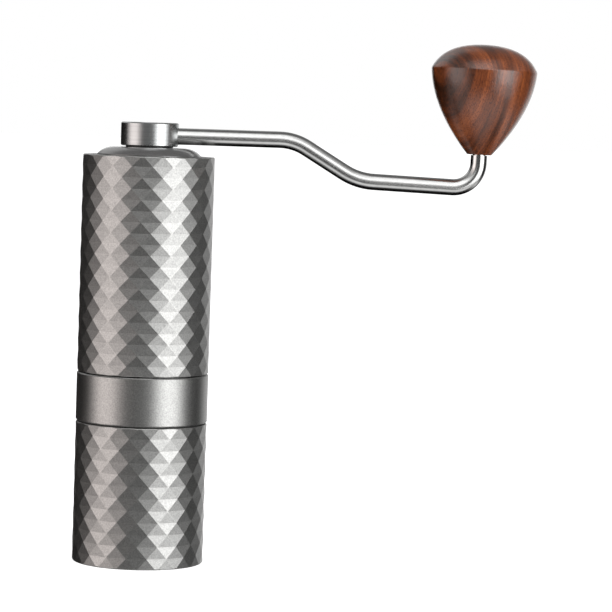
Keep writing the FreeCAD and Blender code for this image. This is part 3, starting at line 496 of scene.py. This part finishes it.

# %% [markdown]
# ## Crisp facets
# The barrel's lozenges are cut flat and then blasted, which rounds each ridge by about a tenth of a
# millimetre. A copy of the solid's mesh is welded, its flat triangles are joined again into whole facets,
# and every edge on the outside gets a narrow bevel with a paler finish, a painted highlight.

# %% Pieces that stand for a solid
WELD = 0.001 * MM               # corners nearer than this are one


def welded(node):
    """The mesh of a solid with its corners joined, to be worked on."""
    mesh = bmesh.new()
    mesh.from_mesh(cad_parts[node].data)
    bmesh.ops.remove_doubles(mesh, verts=mesh.verts, dist=WELD)
    return mesh


def stand_in(mesh, name, node, finishes, crisp_deg):
    """The worked mesh as a piece in place of a node, crisp where it turns sharper than an angle."""
    data = bpy.data.meshes.new(name)
    mesh.to_mesh(data)
    mesh.free()
    old_normals = data.attributes.get("custom_normal")
    if old_normals:
        data.attributes.remove(old_normals)
    data.shade_smooth()
    data.set_sharp_from_angle(angle=math.radians(crisp_deg))
    piece = bpy.data.objects.new(name, data)
    scene.collection.objects.link(piece)
    for finish in finishes:
        data.materials.append(finish)
    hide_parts(node)
    print(name, "faces:", len(data.polygons))
    return piece


# %% Faceted barrel
RIDGE = 0.10 * MM               # width of the rounded ridge
SKIN = 0.6 * MM                 # how deep under the corners the outside's edges lie
FLAT_DEG = 0.4                  # triangles that turn less than this are one facet
FACET_CRISP_DEG = 3.8           # edges of the barrel that turn more than this stay crisp


def faceted(node, name, body):
    """A copy of a barrel piece with its outer edges rounded."""
    mesh = welded(node)
    bmesh.ops.dissolve_limit(mesh, angle_limit=math.radians(FLAT_DEG), verts=mesh.verts, edges=mesh.edges)
    corner = max(v.co.xy.length for v in mesh.verts)
    outer = [e for e in mesh.edges if all(v.co.xy.length > corner - SKIN for v in e.verts)]
    # The bevel's faces take the second finish, the painted highlight along the ridges.
    bmesh.ops.bevel(mesh, geom=outer, offset=RIDGE / 2, segments=1, affect="EDGES", material=1,
                    clamp_overlap=True)
    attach(stand_in(mesh, name, node, [gunmetal, painted_ridge_highlight], FACET_CRISP_DEG), body)


faceted("body_tube", "faceted_tube", "grinder_body")
faceted("grounds_cup", "faceted_cup", "cup")

# %% [markdown]
# ## The knob's crease
# Dome and side of the knob meet in a crease, which sanding rounds by about a millimetre, so that it
# catches a thin line of light. The copy of the knob finds the crease by the angle between its faces.

# %% Walnut knob
CREASE = 1.0 * MM
CREASE_DEG = 20                 # faces that turn more than this meet in the crease
CREASE_OUTSIDE = 15 * MM        # from the knob's axis, outside its bore and foot
ROUND_CRISP_DEG = 35            # edges of round pieces that turn more than this stay crisp
mesh = welded("knob")
creased = [e for e in mesh.edges if e.is_manifold and e.calc_face_angle() > math.radians(CREASE_DEG)
           and all((v.co - knob_axis).xy.length > CREASE_OUTSIDE for v in e.verts)]
bmesh.ops.bevel(mesh, geom=creased, offset=CREASE / 2, segments=3, affect="EDGES", profile=0.5,
                clamp_overlap=True)
print("crease edges:", len(creased))
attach(stand_in(mesh, "walnut_knob", "knob", [walnut], ROUND_CRISP_DEG), "grip")

# %% [markdown]
# ## The burr's spring
# A coil spring under the lower bearing pushes the cone burr down on its dial. Its upper end stays with the
# shaft and its lower end goes with the burr, and the turns between share the way. A copy of its mesh stands
# in for it, with its place baked into the mesh.

# %% Burr spring
wire = welded("burr_spring")
coil = stand_in(wire, "coil_spring", "burr_spring", [tool_steel], ROUND_CRISP_DEG)
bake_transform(coil)

# %% [markdown]
# ## Finishes on the other pieces
# Every other solid already has its true shape, so it only takes a finish.

# %% Assign finishes
FINISHES = {
    "waist_collar": gunmetal,
    "lid": lid_lacquer, "top_frame": dark_plastic,
    "lid_bush": black_acetal,
    "lid_seal": silicone, "cup_gasket": silicone,
    "crank_hub": hub_steel,
    "crank_arm": bar_steel,
    "knob": walnut,
    "knob_bush": brass,
    "burr_housing": black_anodised, "bearing_bridge": machined, "adjusting_dial": machined,
}
for name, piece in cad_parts.items():
    piece.data.materials.clear()
    piece.data.materials.append(FINISHES.get(name, tool_steel))
print("finishes:", len({m.name for m in FINISHES.values()}) + 1, "on", len(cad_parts), "nodes")
